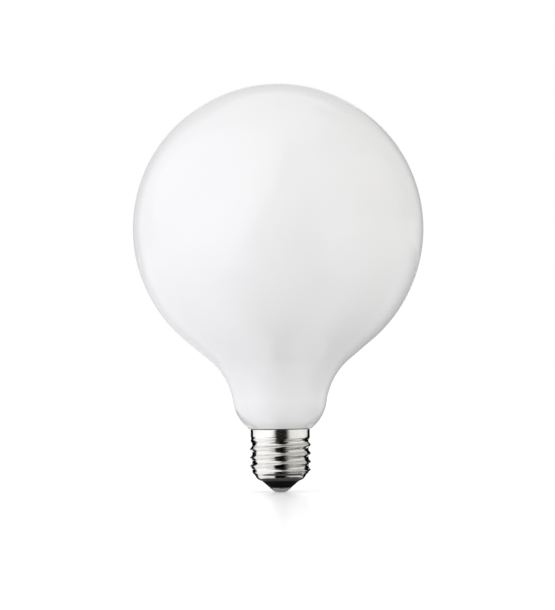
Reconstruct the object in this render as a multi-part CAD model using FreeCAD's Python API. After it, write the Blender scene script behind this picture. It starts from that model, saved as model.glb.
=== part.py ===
import FreeCAD, Part
import math
import os

# Globe bulb: opal glass globe on a rolled screw cap with a black glass insulator and a soldered contact
# Sizes are in millimetres, angles in degrees. The origin is the tip of the contact and +Z runs up the axis.

# Glass globe, neck and shoulder
globe_radius = 62.5
cone_angle = 50.2  # slope of the short cone under the globe, measured from the axis
neck_fillet_radius = 28.4  # hollow curve from the cone into the neck
waist_radius = 20.1  # neck where the hollow curve turns into the round shoulder
waist_taper = 7.6  # slope of the neck at the waist, measured from the axis
shoulder_radius = 17.3  # round shoulder above the cap
seat_overhang = 0.45  # glass that stands out over the collar of the cap
insert_length = 10.0  # glass below the rim, held inside the cap
insert_clearance = 0.4  # room for cement round the insert

# Screw shell: size 27 round thread rolled into thin sheet
sheet_thickness = 0.3
crest_radius = 13.1
thread_depth = 0.95
thread_pitch = 3.629
crest_sharpness = 1.4  # 1 is a plain wave, more makes the crests narrower than the roots
thread_length = 13.7  # from the foot of the thread to where the crests have run out into the collar
thread_run_in = 0.73  # height over which the crest rises at the foot
first_crest_rise = 1.05  # lowest whole crest above the foot, on the +X side
collar_step = 0.35  # plain collar is this much smaller in radius than the crests
collar_length = 5.0  # from the last crest up to the rim
ledge_width = 1.1  # step inwards below the thread
ledge_rise = 0.9  # height of that step
end_depth = 2.5  # height of the rounded end
end_round_radius = 4.2
lip_radius = 8.2  # hole in the rounded end

# Insulator, contact plate and solder
fit_clearance = 0.05
insulator_cone_height = 2.9
insulator_margin = 0.2  # foot of the insulator beyond the contact plate
contact_radius = 4.5
contact_thickness = 0.5
eyelet_radius = 1.2  # tube of the contact plate, pressed up into the insulator
eyelet_bore_radius = 0.8
eyelet_length = 2.5
solder_margin = 0.3  # contact plate beyond the solder
solder_height = 1.5
solder_round_radius = 3.6  # rounded side of the solder drop
tip_radius = 1.5  # flat end that meets the socket's spring

# Fineness of the thread surface
columns_per_turn = 36
rows_per_pitch = 12

# Radii and heights that follow
root_radius = crest_radius - thread_depth
collar_radius = crest_radius - collar_step
ledge_radius = root_radius - ledge_width
solder_radius = contact_radius - solder_margin
insulator_foot_height = solder_height + contact_thickness
eyelet_top_height = insulator_foot_height + eyelet_length
lip_height = insulator_foot_height + insulator_cone_height
ledge_height = lip_height + end_depth
thread_foot_height = ledge_height + ledge_rise
thread_top_height = thread_foot_height + thread_length
rim_height = thread_top_height + collar_length
first_crest_height = thread_foot_height + first_crest_rise
row_height = thread_pitch / rows_per_pitch
thread_rows = math.ceil((thread_length + thread_pitch / 2) / row_height) + 1
thread_head_height = thread_foot_height + thread_rows * row_height

Vector = FreeCAD.Vector
axis_point = Vector(0, 0, 0)
axis_direction = Vector(0, 0, 1)


def section_point(radius, height):
    """Gives the point of a lathe section at this radius and height."""
    return Vector(radius, 0, height)


def right_of(chord):
    """Gives the direction in the section that lies to the right of a chord."""
    return Vector(chord.z, 0, -chord.x).normalize()


def centre_offset(chord, radius):
    """Gives the distance from the middle of a chord to the centre of its arc."""
    return math.sqrt(radius**2 - (chord.Length / 2) ** 2)


def line_edges(points):
    """Joins a row of section points with straight edges."""
    return [Part.LineSegment(start, end).toShape() for start, end in zip(points, points[1:])]


def arc_edge(start, end, radius, side):
    """Joins two section points with an arc that bulges right (1) or left (-1) of the way from start to end."""
    chord = end - start
    bulge = radius - centre_offset(chord, radius)
    return Part.Arc(start, (start + end) / 2 + right_of(chord) * (side * bulge), end).toShape()


def lathe_solid(edges):
    """Turns a closed section about the axis."""
    return Part.Face(Part.Wire(edges)).revolve(axis_point, axis_direction, 360)


def make_glass_globe():
    """Makes the sealed glass, built up from its seat on the cap by tangent arcs and one short cone."""
    taper = math.radians(waist_taper)
    slope = math.radians(cone_angle)
    waist_normal = section_point(math.cos(taper), -math.sin(taper))
    cone_normal = section_point(math.cos(slope), -math.sin(slope))

    seat = section_point(collar_radius + seat_overhang, rim_height)
    shoulder_centre_radius = waist_radius - shoulder_radius * math.cos(taper)
    shoulder_drop = math.sqrt(shoulder_radius**2 - (seat.x - shoulder_centre_radius) ** 2)
    shoulder_centre = section_point(shoulder_centre_radius, rim_height + shoulder_drop)
    waist = shoulder_centre + waist_normal * shoulder_radius
    cone_foot = waist + waist_normal * neck_fillet_radius - cone_normal * neck_fillet_radius
    cone_head_radius = globe_radius * math.cos(slope)
    cone_height = (cone_head_radius - cone_foot.x) / math.tan(slope)
    cone_head = section_point(cone_head_radius, cone_foot.z + cone_height)
    globe_centre_height = cone_head.z + globe_radius * math.sin(slope)
    equator = section_point(globe_radius, globe_centre_height)
    crown = section_point(0, globe_centre_height + globe_radius)

    insert_radius = root_radius - sheet_thickness - insert_clearance
    insert_foot_height = rim_height - insert_length
    insert = [
        crown,
        section_point(0, insert_foot_height),
        section_point(insert_radius, insert_foot_height),
        section_point(insert_radius, rim_height),
        seat,
    ]
    bulb = [
        arc_edge(seat, waist, shoulder_radius, 1),
        arc_edge(waist, cone_foot, neck_fillet_radius, -1),
        *line_edges([cone_foot, cone_head]),
        arc_edge(cone_head, equator, globe_radius, 1),
        arc_edge(equator, crown, globe_radius, 1),
    ]
    return lathe_solid(line_edges(insert) + bulb)


def ease(share):
    """Rises smoothly from 0 to 1 while the share goes from 0 to 1."""
    share = min(max(share, 0.0), 1.0)
    return share * share * (3 - 2 * share)


def thread_radius(height, turn):
    """Gives the outer radius of the thread: a wave between a crest line and a root line.

    The crest rises from the root at the foot. At the top it runs out into the collar first, and the
    root does so half a pitch higher, so the last groove dies away in the collar.
    """
    rise = ease((height - thread_foot_height - row_height) / thread_run_in)
    half_pitches_past_top = (height - thread_top_height) / (thread_pitch / 2)
    crest = root_radius + thread_depth * rise - collar_step * ease(half_pitches_past_top + 1)
    root = root_radius + (collar_radius - root_radius) * ease(half_pitches_past_top)
    wave = math.cos(2 * math.pi * ((height - first_crest_height) / thread_pitch - turn))
    return root + (crest - root) * ((1 + wave) / 2) ** crest_sharpness


def thread_face(inset):
    """Makes one side of the rolled right-hand thread as a smooth spline surface, closed round the axis.

    The surface has degree 5 round the axis, so that its plain first and last rows are true circles, and
    degree 3 along it. Each pole stands off the surface by as much as the spline draws in.
    """
    step = 2 * math.pi / columns_per_turn
    stand_off = 60 / (33 + 26 * math.cos(step) + math.cos(2 * step))
    levels = [0, 1 / 3, *range(1, thread_rows), thread_rows - 1 / 3, thread_rows]
    poles = []
    for column in range(columns_per_turn):
        turn = (column - 2) / columns_per_turn  # puts the seam on +X, where the lathe faces have theirs
        angle = 2 * math.pi * turn
        meridian = []
        for level in levels:
            height = thread_foot_height + level * row_height
            beside = thread_radius(height - row_height, turn) + thread_radius(height + row_height, turn)
            radius = ((8 * thread_radius(height, turn) - beside) / 6 - inset) * stand_off
            meridian.append(Vector(radius * math.cos(angle), radius * math.sin(angle), height))
        poles.append(meridian)
    round_knots = list(range(columns_per_turn + 1))
    round_repeats = [1] * len(round_knots)
    along_knots = list(range(thread_rows + 1))
    along_repeats = [4] + [1] * (thread_rows - 1) + [4]
    surface = Part.BSplineSurface()
    surface.buildFromPolesMultsKnots(
        poles, round_repeats, along_repeats, round_knots, along_knots, True, False, 5, 3
    )
    return surface.toShape()


shell_ledge = section_point(ledge_radius, ledge_height)
shell_lip = section_point(lip_radius, lip_height)
end_chord = shell_lip - shell_ledge
end_centre = (shell_ledge + shell_lip) / 2 + right_of(end_chord) * centre_offset(end_chord, end_round_radius)


def inset_point(point, inset):
    """Moves a point of the shell's rounded end inwards, square to the sheet."""
    return end_centre + (point - end_centre) * ((end_round_radius - inset) / end_round_radius)


def make_screw_shell():
    """Makes the sheet shell: plain collar, rolled thread, ledge and rounded end with its hole."""
    collar = [
        section_point(collar_radius, thread_head_height),
        section_point(collar_radius, rim_height),
        section_point(collar_radius - sheet_thickness, rim_height),
        section_point(collar_radius - sheet_thickness, thread_head_height),
    ]
    foot = section_point(root_radius, thread_foot_height)
    foot_inside = section_point(root_radius - sheet_thickness, thread_foot_height)
    ledge_inside = inset_point(shell_ledge, sheet_thickness)
    lip_inside = inset_point(shell_lip, sheet_thickness)
    rounded_end = [
        *line_edges([foot, shell_ledge]),
        arc_edge(shell_ledge, shell_lip, end_round_radius, -1),
        *line_edges([shell_lip, lip_inside]),
        arc_edge(lip_inside, ledge_inside, end_round_radius - sheet_thickness, 1),
        *line_edges([ledge_inside, foot_inside]),
    ]
    faces = [thread_face(0), thread_face(sheet_thickness)]
    for edges in (line_edges(collar), rounded_end):
        faces += Part.Wire(edges).revolve(axis_point, axis_direction, 360).Faces
    skin = Part.Compound(faces)
    skin.sewShape()
    return Part.Solid(skin.Shells[0])


def make_insulator():
    """Makes the black glass: a cone below the shell's lip and a bead that fills the rounded end."""
    inset = sheet_thickness + fit_clearance
    bead_round_radius = end_round_radius - inset
    neck_radius = inset_point(shell_lip, sheet_thickness).x - fit_clearance
    bead_drop = math.sqrt(bead_round_radius**2 - (neck_radius - end_centre.x) ** 2)
    bead = section_point(neck_radius, end_centre.z - bead_drop)
    bead_top = inset_point(shell_ledge, inset)
    bore_radius = eyelet_radius + fit_clearance
    section = [
        bead_top,
        section_point(bore_radius, bead_top.z),
        section_point(bore_radius, insulator_foot_height),
        section_point(contact_radius + insulator_margin, insulator_foot_height),
        section_point(neck_radius, lip_height),
        bead,
    ]
    return lathe_solid(line_edges(section) + [arc_edge(bead, bead_top, bead_round_radius, 1)])


def make_contact_plate():
    """Makes the contact plate, a disc with a short tube pressed up into the insulator."""
    section = [
        section_point(eyelet_bore_radius, solder_height),
        section_point(contact_radius, solder_height),
        section_point(contact_radius, insulator_foot_height),
        section_point(eyelet_radius, insulator_foot_height),
        section_point(eyelet_radius, eyelet_top_height),
        section_point(eyelet_bore_radius, eyelet_top_height),
    ]
    return lathe_solid(line_edges(section + section[:1]))


def make_contact_solder():
    """Makes the solder: a drop with a flat tip under the plate, and the plug in the plate's tube."""
    edge = section_point(solder_radius, solder_height)
    tip = section_point(tip_radius, 0)
    section = [
        edge,
        section_point(eyelet_bore_radius, solder_height),
        section_point(eyelet_bore_radius, eyelet_top_height),
        section_point(0, eyelet_top_height),
        axis_point,
        tip,
    ]
    return lathe_solid(line_edges(section) + [arc_edge(tip, edge, solder_round_radius, 1)])


os.makedirs("parts", exist_ok=True)
make_glass_globe().exportStep("parts/glass_globe.step")
make_screw_shell().exportStep("parts/screw_shell.step")
make_insulator().exportStep("parts/insulator.step")
make_contact_plate().exportStep("parts/contact_plate.step")
make_contact_solder().exportStep("parts/contact_solder.step")
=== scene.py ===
"""Looks of a globe bulb: opal glass, rolled screw cap, black glass insulator and soldered contact.

Sizes of the bulb's pieces are in millimetres, as radius from the axis and height above the contact's tip.
Meshes, lamps and the camera are in metres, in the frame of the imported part.
"""

import logging
import math
from dataclasses import dataclass
from enum import Enum

import bmesh
import bpy
from mathutils import Matrix, Vector

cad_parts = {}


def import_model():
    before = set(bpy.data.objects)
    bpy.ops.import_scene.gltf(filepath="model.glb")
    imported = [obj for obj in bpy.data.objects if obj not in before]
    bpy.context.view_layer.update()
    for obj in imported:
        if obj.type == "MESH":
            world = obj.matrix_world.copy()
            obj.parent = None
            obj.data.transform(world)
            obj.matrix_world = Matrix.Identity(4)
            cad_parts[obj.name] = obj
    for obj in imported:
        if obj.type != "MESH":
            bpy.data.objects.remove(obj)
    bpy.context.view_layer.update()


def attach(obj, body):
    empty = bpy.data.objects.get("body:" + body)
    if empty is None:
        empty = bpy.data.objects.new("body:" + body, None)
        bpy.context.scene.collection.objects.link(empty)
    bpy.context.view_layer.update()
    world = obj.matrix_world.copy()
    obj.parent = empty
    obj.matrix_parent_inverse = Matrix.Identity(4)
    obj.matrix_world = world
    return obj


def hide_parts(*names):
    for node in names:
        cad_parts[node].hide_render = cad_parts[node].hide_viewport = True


LOG = logging.getLogger("globe_bulb")
MM = 0.001
TINY = 1e-9
CREST_ATTRIBUTE = "crest_share"
CLOTH_ATTRIBUTE = "cloth_share"
# Share of a section's shorter side that the rounding of a corner may take
ROUNDING_SHARE = 0.48
# Heights of the cloth over the studio floor, in metres
LOWEST_LAYER = 0.0003
LAYER_STEP = 0.0001
BULB_MIDDLE = Vector((0, 0, 0.1))

Point = tuple[float, float]
Corner = tuple[float, float, float]
Place = tuple[float, float, float]
Strip = tuple[tuple[float, float, float, float], ...]


class Bulge(Enum):
    """Side to which an arc bulges on the way from its start to its end."""

    RIGHT = 1.0
    LEFT = -1.0


class Slot(Enum):
    """Material slots of the part's record."""

    OPAL_GLASS = "opal_glass"
    PLATED_SHELL = "plated_shell"
    BLACK_GLASS = "black_glass"
    CONTACT_METAL = "contact_metal"
    TIN_SOLDER = "tin_solder"


class LampUse(Enum):
    """What a studio lamp is for: matt surfaces, gloss or both."""

    MATT = "matt"
    GLOSS = "gloss"
    BOTH = "both"


# Helpers for colours, nodes and turned shapes


def linear(hex_colour: str) -> tuple[float, float, float, float]:
    """Turns an sRGB hex colour into linear light.

    Args:
        hex_colour: Colour such as "#F2F1EF".

    Returns:
        Linear red, green and blue, and an alpha of 1.
    """
    channels = []
    for start in (1, 3, 5):
        value = int(hex_colour[start : start + 2], 16) / 255
        channels.append(value / 12.92 if value <= 0.04045 else ((value + 0.055) / 1.055) ** 2.4)
    return channels[0], channels[1], channels[2], 1.0


def per_metre(size: float) -> float:
    """Gives the texture scale at which one pattern feature is this many millimetres wide."""
    return 1 / (size * MM)


def add_node(
    tree: bpy.types.NodeTree,
    kind: str,
    settings: dict[str, object] | None = None,
    inputs: dict[str | int, object] | None = None,
) -> bpy.types.Node:
    """Adds a node to a tree with its settings, input values and incoming links.

    Args:
        tree: Shader or geometry tree.
        kind: Blender's name of the node type.
        settings: Values for the node's own properties.
        inputs: Values or output sockets for the node's inputs, by name or index.

    Returns:
        The new node.
    """
    node = tree.nodes.new(kind)
    for name, value in (settings or {}).items():
        setattr(node, name, value)
    for key, value in (inputs or {}).items():
        if isinstance(value, bpy.types.NodeSocket):
            tree.links.new(value, node.inputs[key])
        else:
            node.inputs[key].default_value = value
    return node


def arc_points(start: Point, end: Point, radius: float, bulge: Bulge, steps: int) -> list[Point]:
    """Divides an arc between two section points.

    Args:
        start: First point of the arc.
        end: Last point of the arc.
        radius: Radius of the arc.
        bulge: Side to which it bulges.
        steps: Number of straight steps that stand for it.

    Returns:
        The points after the start, the end included.
    """
    first, last = Vector(start), Vector(end)
    chord = last - first
    right = Vector((chord.y, -chord.x)).normalized()
    inset = math.sqrt(radius**2 - (chord.length / 2) ** 2)
    centre = (first + last) / 2 - right * (bulge.value * inset)
    sweep = 2 * math.asin(chord.length / 2 / radius) * bulge.value
    points = []
    for step in range(1, steps + 1):
        spoke = Matrix.Rotation(sweep * step / steps, 2) @ (first - centre)
        points.append(tuple(centre + spoke))
    return points


def rounded_points(corners: list[Corner], steps: int) -> list[Point]:
    """Rounds the corners of a closed section.

    Args:
        corners: Radius, height and edge rounding of each corner, 0 for a corner that stays as it is.
        steps: Number of straight steps round a corner.

    Returns:
        The points of the rounded section.
    """
    points: list[Point] = []
    count = len(corners)
    for index, (radius, height, rounding) in enumerate(corners):
        if rounding == 0:
            points.append((radius, height))
            continue
        here = Vector((radius, height))
        before = Vector(corners[index - 1][:2]) - here
        after = Vector(corners[(index + 1) % count][:2]) - here
        opening = before.angle(after)
        shorter = min(before.length, after.length)
        reach = min(rounding / math.tan(opening / 2), ROUNDING_SHARE * shorter)
        first = here + before.normalized() * reach
        last = here + after.normalized() * reach
        for step in range(steps + 1):
            share = step / steps
            points.append(tuple(first.lerp(here, share).lerp(here.lerp(last, share), share)))
    return points


def turned_mesh(name: str, section: list[Point], columns: int, ring: bool) -> bpy.types.Mesh:
    """Turns a section about the axis into a closed mesh with smooth faces that point outwards.

    Args:
        name: Name of the mesh.
        section: Section points in millimetres.
        columns: Number of steps round the axis.
        ring: True for a closed section off the axis, False for one that starts and ends on the axis.

    Returns:
        The mesh, in metres.
    """
    spokes = [Vector((math.cos(angle), math.sin(angle), 0)) for angle in ring_angles(columns)]
    model = bmesh.new()
    rows = []
    for radius, height in section:
        lift = Vector((0, 0, height * MM))
        if radius < TINY:
            rows.append([model.verts.new(lift)] * columns)
        else:
            rows.append([model.verts.new(spoke * (radius * MM) + lift) for spoke in spokes])
    pairs = list(zip(rows, rows[1:]))
    if ring:
        pairs.append((rows[-1], rows[0]))
    for lower, upper in pairs:
        for column in range(columns):
            beside = (column + 1) % columns
            loop = [lower[column], lower[beside], upper[beside], upper[column]]
            face = model.faces.new(list(dict.fromkeys(loop)))
            face.smooth = True
    bmesh.ops.recalc_face_normals(model, faces=model.faces)
    mesh = bpy.data.meshes.new(name)
    model.to_mesh(mesh)
    model.free()
    return mesh


def ring_angles(columns: int) -> list[float]:
    """Gives the angles of even steps round the axis."""
    return [2 * math.pi * column / columns for column in range(columns)]


def new_piece(
    name: str, mesh: bpy.types.Mesh, material: bpy.types.Material | None = None
) -> bpy.types.Object:
    """Makes an object at the origin from a mesh and links it to the scene.

    Args:
        name: Name of the object.
        mesh: Its mesh.
        material: Finish of the mesh, unless a tree gives it one.

    Returns:
        The new object.
    """
    if material:
        mesh.materials.append(material)
    piece = bpy.data.objects.new(name, mesh)
    bpy.context.scene.collection.objects.link(piece)
    return piece


def stand_for_node(piece: bpy.types.Object, node: str) -> None:
    """Puts a finished piece in the place of its CAD node and reports it.

    Args:
        piece: Finished piece.
        node: CAD node that the piece replaces.
    """
    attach(piece, "root")
    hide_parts(node)
    LOG.info("%s stands for %s with %d faces", piece.name, node, len(piece.data.polygons))


# Finishes


@dataclass(frozen=True)
class Finish:
    """A finish on the Principled shader, with patterns on the piece's own Object coordinates."""

    name: str
    metallic: float
    ior: float
    least_roughness: float
    most_roughness: float
    relief_depth: float
    wear_start: float = 0.3
    wear_end: float = 0.7

    def start(self) -> tuple[bpy.types.Material, bpy.types.NodeSocket]:
        """Starts the material.

        Returns:
            The material and the socket with Object coordinates.
        """
        material = bpy.data.materials.new(self.name)
        material.use_nodes = True
        shader = material.node_tree.nodes["Principled BSDF"]
        shader.inputs["Metallic"].default_value = self.metallic
        shader.inputs["IOR"].default_value = self.ior
        return material, add_node(material.node_tree, "ShaderNodeTexCoord").outputs["Object"]

    def close(
        self,
        material: bpy.types.Material,
        colour: bpy.types.NodeSocket,
        wear: bpy.types.NodeSocket,
        relief: bpy.types.NodeSocket,
    ) -> bpy.types.Material:
        """Joins colour, gloss and relief to the shader.

        Args:
            material: Material that start() gave.
            colour: Base colour.
            wear: Pattern of the gloss, smoothest at wear_start and roughest at wear_end.
            relief: Pattern of the relief.

        Returns:
            The same material, finished.
        """
        tree = material.node_tree
        shader = tree.nodes["Principled BSDF"]
        gloss = add_node(
            tree,
            "ShaderNodeMapRange",
            inputs={
                "Value": wear,
                "From Min": self.wear_start,
                "From Max": self.wear_end,
                "To Min": self.least_roughness,
                "To Max": self.most_roughness,
            },
        )
        bump = add_node(
            tree,
            "ShaderNodeBump",
            inputs={"Strength": 1.0, "Distance": self.relief_depth * MM, "Height": relief},
        )
        tree.links.new(colour, shader.inputs["Base Color"])
        tree.links.new(gloss.outputs["Result"], shader.inputs["Roughness"])
        tree.links.new(bump.outputs["Normal"], shader.inputs["Normal"])
        return material


@dataclass(frozen=True)
class OpalGlass(Finish):
    """Blown lamp glass, coated white.

    It gives the eye an even milky white under a soft gloss, with barely seen waves from the blowing.
    """

    name: str = "opal_lamp_glass"
    metallic: float = 0.0
    ior: float = 1.52
    least_roughness: float = 0.12
    most_roughness: float = 0.17
    relief_depth: float = 0.02
    thin_coat: str = "#EEEEEF"
    full_coat: str = "#F2F2F2"
    # Painted shade: the white darkens to this grey over the lowest few millimetres of glass above the cap
    rim_shade_coat: str = "#E7E7E5"
    rim_shade_foot: float = 27.2
    rim_shade_head: float = 30.5
    # Cement inside the cap, its dark grey partly painted shade where it shows in the gap under the glass
    cement_and_gap_shade: str = "#4A4743"
    cement_and_gap_shade_head: float = 27.3
    cloud_size: float = 38.0
    wave_size: float = 17.0
    haze_size: float = 2.4

    def material(self) -> bpy.types.Material:
        """Makes the white glass with a cloudy coat, soft waves and a fine haze on its gloss.

        Just above the cap the white darkens as painted shade, and the glass inside the cap is dark grey:
        cement, deepened as painted shade where it shows in the gap under the glass.

        Returns:
            The material.
        """
        material, place = self.start()
        tree = material.node_tree
        height = add_node(tree, "ShaderNodeSeparateXYZ", inputs={0: place}).outputs["Z"]
        cloud, haze, wave = (
            add_node(
                tree,
                "ShaderNodeTexNoise",
                inputs={"Vector": place, "Scale": per_metre(size), "Detail": detail, "Roughness": roughness},
            ).outputs["Fac"]
            for size, detail, roughness in (
                (self.cloud_size, 3.0, 0.45),
                (self.haze_size, 4.0, 0.6),
                (self.wave_size, 1.0, 0.5),
            )
        )
        # Share of the painted shade near the cap, by height
        above_rim_shade = add_node(
            tree,
            "ShaderNodeMapRange",
            {"interpolation_type": "SMOOTHSTEP"},
            {"Value": height, "From Min": self.rim_shade_foot * MM, "From Max": self.rim_shade_head * MM},
        )
        # Glass below the seat takes the cement colour with its painted shade
        above_cement_and_gap_shade = add_node(
            tree, "ShaderNodeMath", {"operation": "GREATER_THAN"}, {0: height, 1: self.cement_and_gap_shade_head * MM}
        )
        colour = linear(self.full_coat)
        for share, under in (
            (cloud, self.thin_coat),
            (above_rim_shade.outputs["Result"], self.rim_shade_coat),
            (above_cement_and_gap_shade.outputs[0], self.cement_and_gap_shade),
        ):
            inputs = {0: share, 6: linear(under), 7: colour}
            colour = add_node(tree, "ShaderNodeMix", {"data_type": "RGBA"}, inputs).outputs[2]
        return self.close(material, colour, haze, wave)


@dataclass(frozen=True)
class NickelPlate(Finish):
    """Nickel plate on drawn brass.

    It gives the eye a bright, faintly warm mirror, drawn round the axis by fine tool lines, with crests
    rubbed duller where they run in a socket.
    """

    name: str = "nickel_plated_brass"
    metallic: float = 1.0
    ior: float = 1.5
    least_roughness: float = 0.06
    most_roughness: float = 0.19
    relief_depth: float = 0.001
    wear_end: float = 1.0
    plate: str = "#DBDAD7"
    rubbed_plate: str = "#D3CFC8"
    rub_weight: float = 0.5
    line_spacing: float = 0.28
    line_length: float = 7.0
    stain_size: float = 5.5

    def material(self) -> bpy.types.Material:
        """Makes the plate with tool lines, soft stains and rubbed crests.

        The tool lines are drawn about four times as wide as real ones, which would be too fine to show.

        Returns:
            The material.
        """
        material, place = self.start()
        tree = material.node_tree
        length, spacing = per_metre(self.line_length), per_metre(self.line_spacing)
        around = add_node(
            tree, "ShaderNodeMapping", inputs={"Vector": place, "Scale": (length, length, spacing)}
        )
        lines = add_node(
            tree,
            "ShaderNodeTexNoise",
            inputs={"Vector": around.outputs["Vector"], "Scale": 1.0, "Detail": 3.0, "Roughness": 0.6},
        )
        stain = add_node(
            tree,
            "ShaderNodeTexNoise",
            inputs={"Vector": place, "Scale": per_metre(self.stain_size), "Detail": 4.0, "Roughness": 0.55},
        )
        crest = add_node(tree, "ShaderNodeAttribute", {"attribute_name": CREST_ATTRIBUTE})
        rub = add_node(
            tree,
            "ShaderNodeMath",
            {"operation": "MULTIPLY", "use_clamp": True},
            {0: crest.outputs["Fac"], 1: stain.outputs["Fac"]},
        )
        tint = add_node(
            tree,
            "ShaderNodeMix",
            {"data_type": "RGBA"},
            {0: rub.outputs["Value"], 6: linear(self.plate), 7: linear(self.rubbed_plate)},
        )
        wear = add_node(
            tree,
            "ShaderNodeMath",
            {"operation": "MULTIPLY_ADD"},
            {0: rub.outputs["Value"], 1: self.rub_weight, 2: lines.outputs["Fac"]},
        )
        return self.close(material, tint.outputs[2], wear.outputs["Value"], lines.outputs["Fac"])


@dataclass(frozen=True)
class BlackGlass(Finish):
    """Pressed black lamp glass.

    It gives the eye a near black with a wet gloss, broken by faint flow ripples from the press.
    """

    name: str = "pressed_black_glass"
    metallic: float = 0.0
    ior: float = 1.5
    least_roughness: float = 0.08
    most_roughness: float = 0.26
    relief_depth: float = 0.03
    wear_end: float = 0.75
    deep: str = "#070608"
    streak: str = "#131015"
    flow_size: float = 1.6
    flow_bend: float = 1.2

    def material(self) -> bpy.types.Material:
        """Makes the black glass with flow streaks that show in colour, gloss and relief.

        Returns:
            The material.
        """
        material, place = self.start()
        tree = material.node_tree
        flow = add_node(
            tree,
            "ShaderNodeTexNoise",
            inputs={
                "Vector": place,
                "Scale": per_metre(self.flow_size),
                "Detail": 3.0,
                "Roughness": 0.5,
                "Distortion": self.flow_bend,
            },
        ).outputs["Fac"]
        inputs = {0: flow, 6: linear(self.deep), 7: linear(self.streak)}
        colour = add_node(tree, "ShaderNodeMix", {"data_type": "RGBA"}, inputs)
        return self.close(material, colour.outputs[2], flow, flow)


@dataclass(frozen=True)
class GrainedMetal(Finish):
    """Grey metal with an uneven skin.

    As a stamped plate it gives the eye a soft sheen with small scuffs, as solder a duller, frosted skin.
    """

    name: str = "tinned_brass"
    metallic: float = 1.0
    ior: float = 1.5
    least_roughness: float = 0.29
    most_roughness: float = 0.42
    relief_depth: float = 0.01
    bright: str = "#C6C3BC"
    dull: str = "#A5A29B"
    grain_size: float = 0.7

    def material(self) -> bpy.types.Material:
        """Makes the metal with a grain that shows in colour, gloss and relief.

        Returns:
            The material.
        """
        material, place = self.start()
        tree = material.node_tree
        grain = add_node(
            tree,
            "ShaderNodeTexNoise",
            inputs={"Vector": place, "Scale": per_metre(self.grain_size), "Detail": 5.0, "Roughness": 0.6},
        ).outputs["Fac"]
        inputs = {0: grain, 6: linear(self.bright), 7: linear(self.dull)}
        colour = add_node(tree, "ShaderNodeMix", {"data_type": "RGBA"}, inputs)
        return self.close(material, colour.outputs[2], grain, grain)


# Pieces of the bulb


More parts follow.
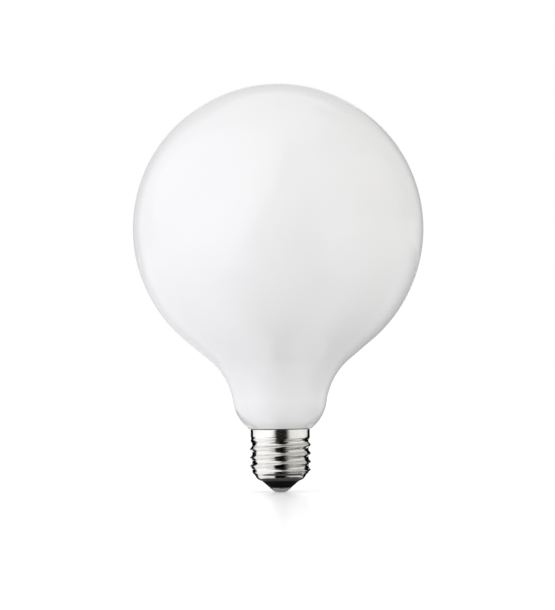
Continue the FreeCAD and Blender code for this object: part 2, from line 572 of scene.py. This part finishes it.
@dataclass
class ScrewShell:
    """Shell of the cap: a drawn sheet cup with a right-hand thread rolled into its wall."""

    sheet_thickness: float = 0.3
    crest_radius: float = 13.1
    thread_depth: float = 0.95
    thread_pitch: float = 3.629
    crest_sharpness: float = 1.4
    collar_step: float = 0.35
    thread_foot: float = 8.3
    rise_start: float = 8.602
    rise_height: float = 0.73
    first_crest: float = 9.35
    thread_top: float = 22.0
    rim_height: float = 27.0
    ledge_radius: float = 11.05
    ledge_height: float = 7.4
    lip_radius: float = 8.2
    lip_height: float = 4.9
    end_round_radius: float = 4.2
    rim_rounding: float = 0.2
    bend_rounding: float = 0.3
    bend_reach: float = 0.18
    edge_rounding: float = 0.1
    row_height: float = 0.15
    columns: int = 240

    @property
    def root_radius(self) -> float:
        """Radius of the thread's root, which is also that of the plain cup's wall."""
        return self.crest_radius - self.thread_depth

    @property
    def collar_radius(self) -> float:
        """Radius of the plain collar above the thread."""
        return self.crest_radius - self.collar_step

    @property
    def end_centre(self) -> Vector:
        """Centre of the rounded end's arc.

        Returns:
            Its radius from the axis and its height.
        """
        ledge = Vector((self.ledge_radius, self.ledge_height))
        lip = Vector((self.lip_radius, self.lip_height))
        chord = lip - ledge
        right = Vector((chord.y, -chord.x)).normalized()
        return (ledge + lip) / 2 + right * math.sqrt(self.end_round_radius**2 - (chord.length / 2) ** 2)

    def inset(self, point: Point, depth: float) -> Point:
        """Moves a point of the rounded end inwards, square to the sheet.

        Args:
            point: Point on the outside of the sheet.
            depth: Distance to move it.

        Returns:
            The moved point.
        """
        centre = self.end_centre
        share = (self.end_round_radius - depth) / self.end_round_radius
        return tuple(centre + (Vector(point) - centre) * share)

    def wall_heights(self, step: float) -> list[float]:
        """Divides the wall between the thread's foot and the rim into even rows.

        Args:
            step: Wished height of a row.

        Returns:
            The heights of the rows, clear of the rounded bend and rim.
        """
        foot = self.thread_foot + self.bend_reach
        head = self.rim_height - 2 * self.rim_rounding
        count = round((head - foot) / step)
        return [foot + (head - foot) * row / count for row in range(count + 1)]

    def cup_section(self) -> list[Point]:
        """Draws the section of the plain cup, from the lip up the outside and down the inside.

        Returns:
            The points of the closed section.
        """
        sheet = self.sheet_thickness
        outer, inner = self.root_radius, self.root_radius - sheet
        lip, ledge = (self.lip_radius, self.lip_height), (self.ledge_radius, self.ledge_height)
        lip_inside, ledge_inside = self.inset(lip, sheet), self.inset(ledge, sheet)
        outer_end = arc_points(lip, ledge, self.end_round_radius, Bulge.RIGHT, steps=28)
        inner_radius = self.end_round_radius - sheet
        inner_end = arc_points(ledge_inside, lip_inside, inner_radius, Bulge.LEFT, steps=12)
        edge = self.edge_rounding
        corners: list[Corner] = [(*lip, edge)]
        corners += [(*point, 0.0) for point in outer_end[:-1]]
        corners += [(*ledge, self.bend_rounding), (outer, self.thread_foot, self.bend_rounding)]
        corners += [(outer, height, 0.0) for height in self.wall_heights(self.row_height)]
        rim = self.rim_height
        corners += [(outer, rim, self.rim_rounding), (inner, rim, self.rim_rounding)]
        corners += [(inner, height, 0.0) for height in reversed(self.wall_heights(3 * self.row_height))]
        corners += [(inner, self.thread_foot, edge), (*ledge_inside, edge)]
        corners += [(*point, 0.0) for point in inner_end[:-1]]
        corners += [(*lip_inside, edge)]
        return rounded_points(corners, steps=5)

    def thread_tree(self) -> tuple[bpy.types.NodeTree, dict[str, str]]:
        """Builds the tree that rolls the thread into the cup's wall.

        The thread is a wave between a crest line and a root line. The crest rises at the foot. At the top
        it runs out into the collar first, and the root does so half a pitch higher.

        Returns:
            The tree, and the identifiers of its inputs by name.
        """
        tree = bpy.data.node_groups.new("rolled_thread", "GeometryNodeTree")
        sizes = ("Pitch", "Depth", "Sharpness", "Rise Start", "Rise End", "First Crest")
        sizes += ("Fade Start", "Top", "Fade End", "Collar Step", "Collar Rise")
        kinds = {"Cup": "NodeSocketGeometry", **dict.fromkeys(sizes, "NodeSocketFloat")}
        kinds["Plate"] = "NodeSocketMaterial"
        sockets = {
            name: tree.interface.new_socket(name, in_out="INPUT", socket_type=kind).identifier
            for name, kind in kinds.items()
        }
        tree.interface.new_socket("Shell", in_out="OUTPUT", socket_type="NodeSocketGeometry")
        given = add_node(tree, "NodeGroupInput").outputs
        position = add_node(tree, "GeometryNodeInputPosition").outputs["Position"]
        parts = add_node(tree, "ShaderNodeSeparateXYZ", inputs={0: position}).outputs
        values = {name: given[name] for name in sizes}
        values.update({axis: parts[axis] for axis in "XYZ"})
        for name, start, end, most in (
            ("rise", "Rise Start", "Rise End", "Depth"),
            ("crest fade", "Fade Start", "Top", "Collar Step"),
            ("root", "Top", "Fade End", "Collar Rise"),
        ):
            inputs = {"From Min": values[start], "From Max": values[end], "To Max": values[most]}
            level = add_node(
                tree,
                "ShaderNodeMapRange",
                {"interpolation_type": "SMOOTHSTEP"},
                {"Value": values["Z"], **inputs},
            )
            values[name] = level.outputs[0]
        clamped = ("lobe", "rub")
        for name, operation, terms in (
            ("angle", "ARCTAN2", ("Y", "X")),
            ("above", "SUBTRACT", ("Z", "First Crest")),
            ("turns", "DIVIDE", ("above", "Pitch")),
            ("phase", "MULTIPLY", ("turns", 2 * math.pi)),
            ("lag", "SUBTRACT", ("phase", "angle")),
            ("wave", "COSINE", ("lag",)),
            ("lobe", "MULTIPLY_ADD", ("wave", 0.5, 0.5)),
            ("crest share", "POWER", ("lobe", "Sharpness")),
            ("crest", "SUBTRACT", ("rise", "crest fade")),
            ("height", "SUBTRACT", ("crest", "root")),
            ("swell", "MULTIPLY_ADD", ("height", "crest share", "root")),
            ("rub", "DIVIDE", ("swell", "Depth")),
        ):
            step = add_node(
                tree,
                "ShaderNodeMath",
                {"operation": operation, "use_clamp": name in clamped},
                {index: values.get(term, term) for index, term in enumerate(terms)},
            )
            values[name] = step.outputs[0]
        spoke = add_node(
            tree, "ShaderNodeVectorMath", {"operation": "MULTIPLY"}, {0: position, 1: (1, 1, 0)}
        )
        outwards = add_node(
            tree, "ShaderNodeVectorMath", {"operation": "NORMALIZE"}, {0: spoke.outputs["Vector"]}
        )
        offset = add_node(
            tree,
            "ShaderNodeVectorMath",
            {"operation": "SCALE"},
            {0: outwards.outputs["Vector"], "Scale": values["swell"]},
        )
        marked = add_node(
            tree,
            "GeometryNodeStoreNamedAttribute",
            {"data_type": "FLOAT", "domain": "POINT"},
            {"Geometry": given["Cup"], "Name": CREST_ATTRIBUTE, "Value": values["rub"]},
        )
        rolled = add_node(
            tree,
            "GeometryNodeSetPosition",
            inputs={"Geometry": marked.outputs["Geometry"], "Offset": offset.outputs["Vector"]},
        )
        real = add_node(
            tree, "GeometryNodeRealizeInstances", inputs={"Geometry": rolled.outputs["Geometry"]}
        )
        dressed = add_node(
            tree,
            "GeometryNodeSetMaterial",
            inputs={"Geometry": real.outputs["Geometry"], "Material": given["Plate"]},
        )
        add_node(tree, "NodeGroupOutput", inputs={0: dressed.outputs["Geometry"]})
        return tree, sockets

    def build(self) -> None:
        """Turns the cup, rolls its thread and plates it."""
        cup = turned_mesh("drawn_cup", self.cup_section(), self.columns, True)
        piece = new_piece("rolled_screw_shell", cup)
        tree, sockets = self.thread_tree()
        rolling = piece.modifiers.new("rolled_thread", "NODES")
        rolling.node_group = tree
        half_pitch = self.thread_pitch / 2
        for name, size in (
            ("Pitch", self.thread_pitch),
            ("Depth", self.thread_depth),
            ("Rise Start", self.rise_start),
            ("Rise End", self.rise_start + self.rise_height),
            ("First Crest", self.first_crest),
            ("Fade Start", self.thread_top - half_pitch),
            ("Top", self.thread_top),
            ("Fade End", self.thread_top + half_pitch),
            ("Collar Step", self.collar_step),
            ("Collar Rise", self.thread_depth - self.collar_step),
        ):
            rolling[sockets[name]] = size * MM
        rolling[sockets["Sharpness"]] = self.crest_sharpness
        rolling[sockets["Plate"]] = NickelPlate().material()
        graph = bpy.context.evaluated_depsgraph_get()
        rolled = bpy.data.meshes.new_from_object(
            piece.evaluated_get(graph), preserve_all_data_layers=True, depsgraph=graph
        )
        piece.modifiers.remove(rolling)
        piece.data = rolled
        stand_for_node(piece, "screw_shell")


@dataclass
class GlassGlobe:
    """Sealed glass: globe, short cone, hollow neck, round shoulder and the insert inside the cap."""

    shell: ScrewShell
    globe_radius: float = 62.5
    cone_angle: float = 50.2
    neck_fillet_radius: float = 28.4
    waist_radius: float = 20.1
    waist_taper: float = 7.6
    shoulder_radius: float = 17.3
    seat_overhang: float = 0.45
    seam: float = 0.34
    insert_length: float = 10.0
    insert_clearance: float = 0.4
    insert_rounding: float = 0.6
    edge_rounding: float = 0.45
    edge_reach: float = 0.54
    columns: int = 192

    def section(self) -> list[Point]:
        """Draws the section: the insert, then tangent arcs from the seat on the cap up to the crown.

        Returns:
            The points from the axis inside the cap to the crown.
        """
        taper, slope = math.radians(self.waist_taper), math.radians(self.cone_angle)
        waist_normal = Vector((math.cos(taper), -math.sin(taper)))
        cone_normal = Vector((math.cos(slope), -math.sin(slope)))
        rim = self.shell.rim_height
        seat = Vector((self.shell.collar_radius + self.seat_overhang, rim))
        centre_radius = self.waist_radius - self.shoulder_radius * math.cos(taper)
        drop = math.sqrt(self.shoulder_radius**2 - (seat.x - centre_radius) ** 2)
        reach = math.sqrt(self.shoulder_radius**2 - (drop - self.seam) ** 2)
        shoulder_foot = (centre_radius + reach, rim + self.seam)
        waist = Vector((centre_radius, rim + drop)) + waist_normal * self.shoulder_radius
        cone_foot = waist + (waist_normal - cone_normal) * self.neck_fillet_radius
        cone_head_radius = self.globe_radius * math.cos(slope)
        cone_head = Vector(
            (cone_head_radius, cone_foot.y + (cone_head_radius - cone_foot.x) / math.tan(slope))
        )
        globe_height = cone_head.y + self.globe_radius * math.sin(slope)
        equator = (self.globe_radius, globe_height)
        crown = (0.0, globe_height + self.globe_radius)
        insert_radius = self.shell.root_radius - self.shell.sheet_thickness - self.insert_clearance
        insert_foot = rim - self.insert_length
        rounding = self.insert_rounding
        points: list[Point] = [(0.0, insert_foot), (insert_radius - rounding, insert_foot)]
        insert_side = (insert_radius, insert_foot + rounding)
        points += arc_points(points[-1], insert_side, rounding, Bulge.RIGHT, steps=5)
        shoulder = arc_points(shoulder_foot, tuple(waist), self.shoulder_radius, Bulge.RIGHT, steps=40)
        edge_start = shoulder_foot[0] - self.edge_reach
        points += [(insert_radius, shoulder_foot[1]), (edge_start, shoulder_foot[1])]
        points += arc_points(points[-1], shoulder[0], self.edge_rounding, Bulge.RIGHT, steps=6)
        points += shoulder[1:]
        fillet = self.neck_fillet_radius
        points += arc_points(tuple(waist), tuple(cone_foot), fillet, Bulge.LEFT, steps=24)
        points += [tuple(cone_foot.lerp(cone_head, share)) for share in (0.25, 0.5, 0.75, 1.0)]
        points += arc_points(tuple(cone_head), equator, self.globe_radius, Bulge.RIGHT, steps=36)
        points += arc_points(equator, crown, self.globe_radius, Bulge.RIGHT, steps=60)
        points[-1] = crown
        return points

    def build(self) -> None:
        """Turns the glass and gives it its white finish."""
        mesh = turned_mesh("opal_globe", self.section(), self.columns, False)
        piece = new_piece("opal_globe", mesh, OpalGlass().material())
        stand_for_node(piece, "glass_globe")


@dataclass
class Insulator:
    """Black glass between the shell and the contact: a cone below the lip and a bead inside the end."""

    shell: ScrewShell
    fit_clearance: float = 0.05
    foot_radius: float = 4.7
    foot_height: float = 2.0
    bore_radius: float = 1.25
    bore_rounding: float = 0.1
    edge_rounding: float = 0.25
    columns: int = 160

    def section(self) -> list[Point]:
        """Draws the closed section: foot, cone, bead and the bore for the contact's tube.

        Returns:
            The points of the section.
        """
        shell = self.shell
        depth = shell.sheet_thickness + self.fit_clearance
        round_radius = shell.end_round_radius - depth
        lip_inside = shell.inset((shell.lip_radius, shell.lip_height), shell.sheet_thickness)
        neck_radius = lip_inside[0] - self.fit_clearance
        centre = shell.end_centre
        bead = (neck_radius, centre.y - math.sqrt(round_radius**2 - (neck_radius - centre.x) ** 2))
        bead_top = shell.inset((shell.ledge_radius, shell.ledge_height), depth)
        foot = Vector((self.foot_radius, self.foot_height))
        neck = Vector((neck_radius, shell.lip_height))
        corners: list[Corner] = [
            (self.bore_radius, self.foot_height, self.bore_rounding),
            (*foot, self.edge_rounding),
        ]
        corners += [(*foot.lerp(neck, share), 0.0) for share in (0.3, 0.5, 0.7, 0.9)]
        corners += [(*neck, 0.0), (*bead, 0.0)]
        end = arc_points(bead, bead_top, round_radius, Bulge.RIGHT, steps=14)
        corners += [(*point, 0.0) for point in end]
        corners += [(self.bore_radius, bead_top[1], self.bore_rounding)]
        return rounded_points(corners, steps=5)

    def build(self) -> None:
        """Turns the insulator and gives it its black finish."""
        mesh = turned_mesh("black_insulator", self.section(), self.columns, True)
        piece = new_piece("black_insulator", mesh, BlackGlass().material())
        stand_for_node(piece, "insulator")


@dataclass
class CentreContact:
    """Contact under the insulator: a stamped plate with a tube, and the solder drop that closes it."""

    plate_radius: float = 4.5
    plate_foot: float = 1.5
    plate_top: float = 2.0
    tube_radius: float = 1.2
    tube_bore_radius: float = 0.8
    tube_top: float = 4.5
    solder_radius: float = 4.2
    solder_round_radius: float = 3.6
    tip_radius: float = 1.5
    plate_rounding: float = 0.16
    solder_unevenness: float = 0.05
    solder_lobes: tuple[tuple[float, int, float], ...] = ((1.0, 2, 0.6), (0.7, 3, 2.1), (0.4, 7, 0.0))
    columns: int = 120

    def plate_section(self) -> list[Point]:
        """Draws the closed section of the plate and its tube.

        Returns:
            The points of the section.
        """
        corners: list[Corner] = [
            (self.tube_bore_radius, self.plate_foot, 0.0),
            (self.plate_radius, self.plate_foot, self.plate_rounding),
            (self.plate_radius, self.plate_top, self.plate_rounding),
            (self.tube_radius, self.plate_top, 0.0),
            (self.tube_radius, self.tube_top, 0.0),
            (self.tube_bore_radius, self.tube_top, 0.0),
        ]
        return rounded_points(corners, steps=4)

    def solder_section(self) -> list[Point]:
        """Draws the section of the solder: flat tip, rounded drop and the plug in the tube.

        Returns:
            The points from the tip on the axis to the top of the plug.
        """
        edge = (self.solder_radius, self.plate_foot)
        points: list[Point] = [(0.0, 0.0), (0.5 * self.tip_radius, 0.0), (self.tip_radius, 0.0)]
        points += arc_points(points[-1], edge, self.solder_round_radius, Bulge.RIGHT, steps=18)
        points += [(self.tube_bore_radius, self.plate_foot), (self.tube_bore_radius, self.tube_top)]
        points += [(0.0, self.tube_top)]
        return points

    def run_solder(self, mesh: bpy.types.Mesh) -> None:
        """Draws the side of the solder drop in here and there, as solder sets after it has run.

        Each lobe of the drop gives its strength, its number round the axis and its phase.

        Args:
            mesh: Mesh of the round drop, which is changed.
        """
        strength = sum(lobe[0] for lobe in self.solder_lobes)
        for vertex in mesh.vertices:
            radius = math.hypot(vertex.co.x, vertex.co.y) / MM
            if radius <= self.tip_radius or vertex.co.z > self.plate_foot * MM + TINY:
                continue
            angle = math.atan2(vertex.co.y, vertex.co.x)
            wave = sum(part * math.sin(count * angle + phase) for part, count, phase in self.solder_lobes)
            reach = (radius - self.tip_radius) / (self.solder_radius - self.tip_radius)
            share = 1 - self.solder_unevenness * reach * (1 + wave / strength) / 2
            vertex.co.x *= share
            vertex.co.y *= share

    def build(self) -> None:
        """Makes the plate and the solder drop, each with its own metal."""
        disc = turned_mesh("contact_disc", self.plate_section(), self.columns, True)
        plate = new_piece("contact_disc", disc, GrainedMetal().material())
        stand_for_node(plate, "contact_plate")
        mesh = turned_mesh("solder_drop", self.solder_section(), self.columns, False)
        self.run_solder(mesh)
        solder = GrainedMetal(
            name="tin_solder",
            bright="#B9B8B4",
            dull="#8F8E8A",
            grain_size=0.9,
            relief_depth=0.03,
            least_roughness=0.32,
            most_roughness=0.5,
        )
        drop = new_piece("solder_drop", mesh, solder.material())
        stand_for_node(drop, "contact_solder")


# Studio


@dataclass(frozen=True)
class SoftBox:
    """A large soft lamp, given by three corners. Radiance is how bright its face looks, 1 being white."""

    name: str
    front_foot: Place
    front_head: Place
    back_foot: Place
    radiance: float
    colour: str
    use: LampUse = LampUse.BOTH
    lift: float = 0.0002

    def build(self) -> None:
        """Hangs the lamp with its face to the bulb."""
        foot = Vector(self.front_foot)
        front = Vector(self.front_head) - foot
        side = Vector(self.back_foot) - foot
        side -= side.project(front)
        lamp = bpy.data.lights.new(self.name, "AREA")
        lamp.shape = "RECTANGLE"
        lamp.size, lamp.size_y = front.length, side.length
        lamp.energy = self.radiance * math.pi * front.length * side.length
        lamp.color = linear(self.colour)[:3]
        box = bpy.data.objects.new(self.name, lamp)
        centre = foot + (front + side) / 2 + Vector((0, 0, self.lift))
        across, along = front.normalized(), side.normalized()
        away = across.cross(along)
        if away.dot(centre - BULB_MIDDLE) < 0:
            along, away = -along, -away
        box.matrix_world = Matrix.Translation(centre) @ Matrix((across, along, away)).transposed().to_4x4()
        box.visible_camera = False
        box.visible_glossy = self.use is not LampUse.MATT
        box.visible_diffuse = self.use is not LampUse.GLOSS
        bpy.context.scene.collection.objects.link(box)


@dataclass(frozen=True)
class Cloth:
    """Black or grey cloth, seen only in the gloss of the bulb, where it draws the dark shapes and edges."""

    name: str
    colour: str

    def material(self) -> bpy.types.Material:
        """Makes the matt cloth, which is clear from behind so that it leaves no mark on the floor.

        Returns:
            The material.
        """
        material = bpy.data.materials.new(self.name)
        material.use_nodes = True
        tree = material.node_tree
        shader = tree.nodes["Principled BSDF"]
        shader.inputs["Base Color"].default_value = linear(self.colour)
        shader.inputs["Roughness"].default_value = 0.9
        shader.inputs["Specular IOR Level"].default_value = 0.0
        cover = add_node(tree, "ShaderNodeAttribute", {"attribute_name": CLOTH_ATTRIBUTE}).outputs["Fac"]
        under = add_node(tree, "ShaderNodeNewGeometry").outputs["Backfacing"]
        seen = add_node(
            tree, "ShaderNodeMath", {"operation": "SUBTRACT", "use_clamp": True}, {0: cover, 1: under}
        )
        clear = add_node(tree, "ShaderNodeBsdfTransparent")
        one_sided = add_node(
            tree,
            "ShaderNodeMixShader",
            inputs={0: seen.outputs[0], 1: clear.outputs[0], 2: shader.outputs[0]},
        )
        tree.links.new(one_sided.outputs[0], tree.nodes["Material Output"].inputs["Surface"])
        return material

    def lift(self, layer: int) -> float:
        """Gives the height of a layer of cloth over the floor."""
        return LOWEST_LAYER + LAYER_STEP * layer

    def hang(self, rows: list[list[tuple[Place, float]]]) -> None:
        """Hangs the cloth as a part of the stage.

        Args:
            rows: Rows of points, each with the share of cloth there, which is less than 1 where it is thin.
        """
        width = len(rows[0])
        corners = [corner for row in rows for corner in row]
        faces = [
            (first, first + width, first + width + 1, first + 1)
            for start in range(0, len(corners) - width, width)
            for first in range(start, start + width - 1)
        ]
        mesh = bpy.data.meshes.new(self.name)
        mesh.from_pydata([place for place, share in corners], [], faces)
        cover = mesh.attributes.new(CLOTH_ATTRIBUTE, "FLOAT", "POINT")
        cover.data.foreach_set("value", [share for place, share in corners])
        cloth = new_piece(self.name, mesh, self.material())
        cloth.visible_camera = False
        cloth.visible_diffuse = False
        cloth.visible_shadow = False


@dataclass(frozen=True)
class Flag(Cloth):
    """Cloth laid round the bulb in rows that run outwards over the floor and then up.

    Each row gives the distance from the axis, the height, and the angles of its two ends, in degrees to the
    right of the camera's side. The cloth can thin out over some degrees at either end. Rows that run
    inwards make a roof, which is seen from below.
    """

    rows: Strip
    start_fade: float = 0.0
    end_fade: float = 0.0
    share: float = 1.0

    def columns(self, start: float, end: float) -> list[tuple[float, float]]:
        """Divides a row.

        Args:
            start: Angle of the row's first end.
            end: Angle of its other end.

        Returns:
            The angle of each column and the share of cloth there.
        """
        steps = 24
        columns = []
        for step in range(steps + 1):
            degrees = start + (end - start) * step / steps
            rise = (degrees - start) / self.start_fade if self.start_fade else 1.0
            fall = (end - degrees) / self.end_fade if self.end_fade else 1.0
            thin = min(rise, fall, 1.0)
            columns.append((degrees, self.share * thin * thin * (3 - 2 * thin)))
        return columns

    def build(self, layer: int) -> None:
        """Hangs the cloth, a little higher than the layers below it.

        Args:
            layer: Number of layers below it.
        """
        lift = self.lift(layer)
        rows = []
        for reach, height, start, end in self.rows:
            row = []
            for degrees, share in self.columns(start, end):
                angle = math.radians(degrees)
                row.append(((reach * math.sin(angle), -reach * math.cos(angle), height + lift), share))
            rows.append(row)
        self.hang(rows)


@dataclass(frozen=True)
class EdgeCard(Cloth):
    """Small black card beside the cap, which draws the dark edges of the thread and the collar.

    It is splayed a little more than the lines of sight, so that the floor's gloss sees only its clear back.
    The columns give the distance behind the axis, the height and the share of cloth, from the front back.
    """

    side: float
    columns: tuple[tuple[float, float, float], ...]
    splay: float = 10.0

    def build(self, layer: int) -> None:
        """Stands the card with its face to the cap.

        Args:
            layer: Number of layers of cloth below it.
        """
        lift = self.lift(layer)
        widening = math.copysign(math.tan(math.radians(self.splay)), self.side)
        foot, head = [], []
        for back, height, share in self.columns:
            across = self.side + back * widening
            foot.append(((across, back, lift), share))
            head.append(((across, back, height + lift), share))
        self.hang([head, foot] if self.side < 0 else [foot, head])


@dataclass
class Studio:
    """Plain white floor and background, soft lamps, flags and the camera."""

    world_light: float = 0.82
    floor_colour: str = "#F2F2F2"
    floor_roughness: float = 0.3
    floor_lift: float = 0.27
    floor_reach: float = 12.0
    image_height: int = 610
    photo_scale: float = 0.42985
    camera_distance: float = 0.9
    camera_height: float = 0.045
    aim_height: float = 0.08025
    aim_side: float = -0.00058
    camera_roll: float = -0.58
    sensor: float = 36.0

    def ray_share(self, tree: bpy.types.NodeTree) -> bpy.types.NodeSocket:
        """Adds nodes that find the rays that see the background, straight, in gloss or through glass.

        Args:
            tree: Tree of the world or of a material.

        Returns:
            The socket that gives 1 for such rays and 0 for others.
        """
        path = add_node(tree, "ShaderNodeLightPath").outputs
        seen = path["Is Camera Ray"]
        for ray in ("Is Glossy Ray", "Is Transmission Ray"):
            inputs = {0: seen, 1: path[ray]}
            seen = add_node(
                tree, "ShaderNodeMath", {"operation": "ADD", "use_clamp": True}, inputs
            ).outputs[0]
        return seen

    def light_world(self) -> None:
        """Makes the world an even white, dimmer where it only lights matt surfaces."""
        world = bpy.data.worlds.new("white_studio")
        world.use_nodes = True
        tree = world.node_tree
        strength = add_node(
            tree,
            "ShaderNodeMapRange",
            inputs={"Value": self.ray_share(tree), "To Min": self.world_light, "To Max": 1.0},
        )
        background = tree.nodes["Background"]
        background.inputs["Color"].default_value = linear("#FFFFFF")
        tree.links.new(strength.outputs["Result"], background.inputs["Strength"])
        bpy.context.scene.world = world

    def lay_floor(self) -> None:
        """Lays a white satin floor that keeps the bulb's shadow and its faint reflection."""
        material = bpy.data.materials.new("white_satin_floor")
        material.use_nodes = True
        tree = material.node_tree
        satin = tree.nodes["Principled BSDF"]
        satin.inputs["Base Color"].default_value = linear(self.floor_colour)
        satin.inputs["Roughness"].default_value = self.floor_roughness
        lift = add_node(
            tree,
            "ShaderNodeMath",
            {"operation": "MULTIPLY"},
            {0: self.ray_share(tree), 1: self.floor_lift},
        )
        glow = add_node(tree, "ShaderNodeEmission", inputs={"Strength": lift.outputs[0]})
        both = add_node(tree, "ShaderNodeAddShader", inputs={0: satin.outputs[0], 1: glow.outputs[0]})
        tree.links.new(both.outputs[0], tree.nodes["Material Output"].inputs["Surface"])
        reach = self.floor_reach
        mesh = bpy.data.meshes.new("studio_floor")
        corners = [(-reach, -reach, 0), (reach, -reach, 0), (reach, reach, 0), (-reach, reach, 0)]
        mesh.from_pydata(corners, [], [(0, 1, 2, 3)])
        new_piece("studio_floor", mesh, material)

    def hang_lamps(self) -> None:
        """Hangs the soft lamps: fills for the matt glass, a side box, and white cards for the gloss."""
        cool, warm = "#F4F2FF", "#FFFBF1"
        matt, gloss = LampUse.MATT, LampUse.GLOSS
        low = 0.02
        boxes = (
            SoftBox(
                "left_fill", (-0.46, -0.95, low), (-0.46, -0.95, 0.4), (-1, -0.2, low), 1.82, cool, matt
            ),
            SoftBox("front_fill", (-0.2, -1.5, 0.1), (-0.2, -1.3, 1.2), (0.5, -1.5, 0.1), 1.02, warm, matt),
            SoftBox("right_soft_box", (1.1, -1, 0.1), (0.9, -0.8, 1.2), (1.4, 0.5, 0.1), 0.19, warm),
            SoftBox(
                "side_card", (-0.49, -1.2, low), (0.03, -0.47, 1.32), (-2.24, 0.69, low), 0.3, cool, gloss
            ),
            SoftBox("floor_card", (-0.012, -1.3, 0), (-0.012, 0.7, 0), (-1.6, -1.3, 0), 0.22, cool, gloss),
        )
        for box in boxes:
            box.build()
            LOG.info("%s hung", box.name)

    def set_flags(self) -> None:
        """Sets the flags in front of the bulb, beside it and round the back of the picture, and sheets of
        painted shadow on the floor under and right of the cap.
        """
        black, deep, dark = "#050505", "#1E1B19", "#332F2C"
        near_front = ((0.0115, 0, -24, 34), (0.03, 0, -22, 36))
        middle_front = ((0.03, 0, -44, 42), (0.06, 0, -60, 52), (0.2, 0, -66, 60))
        floor_front = ((0.2, 0, -36, 43), (0.35, 0, -40, 43), (0.8, 0, -38, 43), (1.3, 0, -34, 43))
        wall_front = (
            (1.3, 0, -22, 40),
            (1.3, 0.113, -17, 40),
            (1.3, 0.4, -11, 40),
            (1.3, 0.665, -6, 38),
            (1.3, 1.0, -1.5, 36),
            (1.3, 1.6, 4, 34),
            (1.3, 3.4, 11, 26),
        )
        low, high = 0.0205, 0.0275
        left_edge = ((0, low, 0), (0.007, low, 1), (0.011, low, 1), (0.0125, high, 1), (0.1, high, 1))
        right_edge = ((0, low, 0), (0.007, low, 1), (0.013, low, 1), (0.0145, high, 1), (0.1, high, 1))
        flags = (
            # Painted shadow: grey and black sheets on the floor right of the cap, seen only in the gloss,
            # stand in for the bulb's shadow there
            Flag("right_floor_painted_shade", "#EAEAEA", ((0.0115, 0, 10, 106), (0.3, 0, 24, 112)), 14, 0, 0.5),
            Flag("right_crest_painted_shade", black, ((0.0115, 0, 12, 112), (0.0145, 0, 12, 112)), 12, 0, 0.8),
            Flag("right_cone_painted_shadow", black, ((0.05, 0, 40, 130), (0.1, 0, 40, 130)), 50, 10, 0.25),
            Flag("right_middle_painted_shadow", black, ((0.05, 0, 40, 130), (0.13, 0, 40, 130)), 50, 10, 0.25),
            Flag("right_outer_painted_shadow", black, ((0.05, 0, 40, 130), (0.18, 0, 40, 130)), 50, 10, 0.2),
            Flag("right_root_painted_shade", black, ((0.0185, 0, 8, 112), (0.025, 0, 8, 112)), 10, 0, 0.8),
            Flag("right_net", "#E0E0E0", ((1.4, 0.25, 24, 150), (1.4, 3.0, 14, 150)), 14, 10),
            Flag("left_back_net", "#DADADA", ((3.5, 0.02, -168, -138), (3.5, 4, -168, -138)), 0, 5),
            Flag("left_far_net", black, ((0.07, 0, -180, -132), (3.4, 0, -180, -132)), 0, 10, 0.3),
            Flag("right_back_flag", black, ((3.5, 0.02, 128, 168), (3.5, 4, 128, 168)), 34, 0, 0.75),
            Flag("right_far_flag", black, ((0.07, 0, 112, 180), (3.4, 0, 112, 180)), 36, 0, 0.7),
            Flag("top_back_net", "#DEDEDE", ((3.5, 1.6, 145, 215), (3.5, 4, 145, 215)), 15, 15),
            Flag("back_flag", black, ((0.0115, 0, 102, 263), (0.04, 0, 108, 250))),
            # Painted shadow: a grey disc on the floor under the contact, seen only in the gloss, stands in
            # for the contact shadow
            Flag("foot_painted_shadow", "#6A6A6A", ((0.004, 0, -180, 180), (0.0115, 0, -180, 180))),
            Flag("near_front_flag", black, near_front, 8, 22),
            Flag("middle_front_flag", black, middle_front, 50, 36),
            Flag("floor_front_flag", deep, floor_front, 27, 20),
            Flag("wall_front_flag", dark, wall_front, 2, 20),
            Flag("left_edge_roof", black, ((0.038, 0.0212, 208, 263), (0.0145, 0.0212, 208, 263))),
            Flag("right_edge_roof", black, ((0.038, 0.0212, 102, 152), (0.0145, 0.0212, 102, 152))),
            EdgeCard("left_edge_card", black, -0.03, left_edge),
            EdgeCard("right_edge_card", black, 0.03, right_edge),
        )
        for layer, flag in enumerate(flags):
            flag.build(layer)
            LOG.info("%s set", flag.name)

    def set_camera(self) -> None:
        """Sets the camera at the photograph's height, distance and slight roll."""
        camera = bpy.data.cameras.new("studio_camera")
        camera.sensor_width = self.sensor
        camera.lens = self.sensor * self.camera_distance / (self.image_height * self.photo_scale * MM)
        camera.clip_start, camera.clip_end = 0.01, 50
        holder = bpy.data.objects.new("studio_camera", camera)
        stand = Vector((self.aim_side, -self.camera_distance, self.camera_height))
        aim = Vector((self.aim_side, 0, self.aim_height)) - stand
        turn = aim.to_track_quat("-Z", "Y").to_matrix().to_4x4()
        roll = Matrix.Rotation(math.radians(self.camera_roll), 4, "Z")
        holder.matrix_world = Matrix.Translation(stand) @ turn @ roll
        bpy.context.scene.collection.objects.link(holder)
        bpy.context.scene.camera = holder

    def build(self) -> None:
        """Sets up the whole studio."""
        bpy.context.scene.view_settings.view_transform = "Standard"
        self.light_world()
        self.lay_floor()
        self.hang_lamps()
        self.set_flags()
        self.set_camera()


def main() -> None:
    logging.basicConfig(level=logging.INFO, format="%(name)s: %(message)s")
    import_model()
    shell = ScrewShell()
    for piece in (GlassGlobe(shell), shell, Insulator(shell), CentreContact()):
        piece.build()
    Studio().build()


if __name__ == "__main__":
    main()
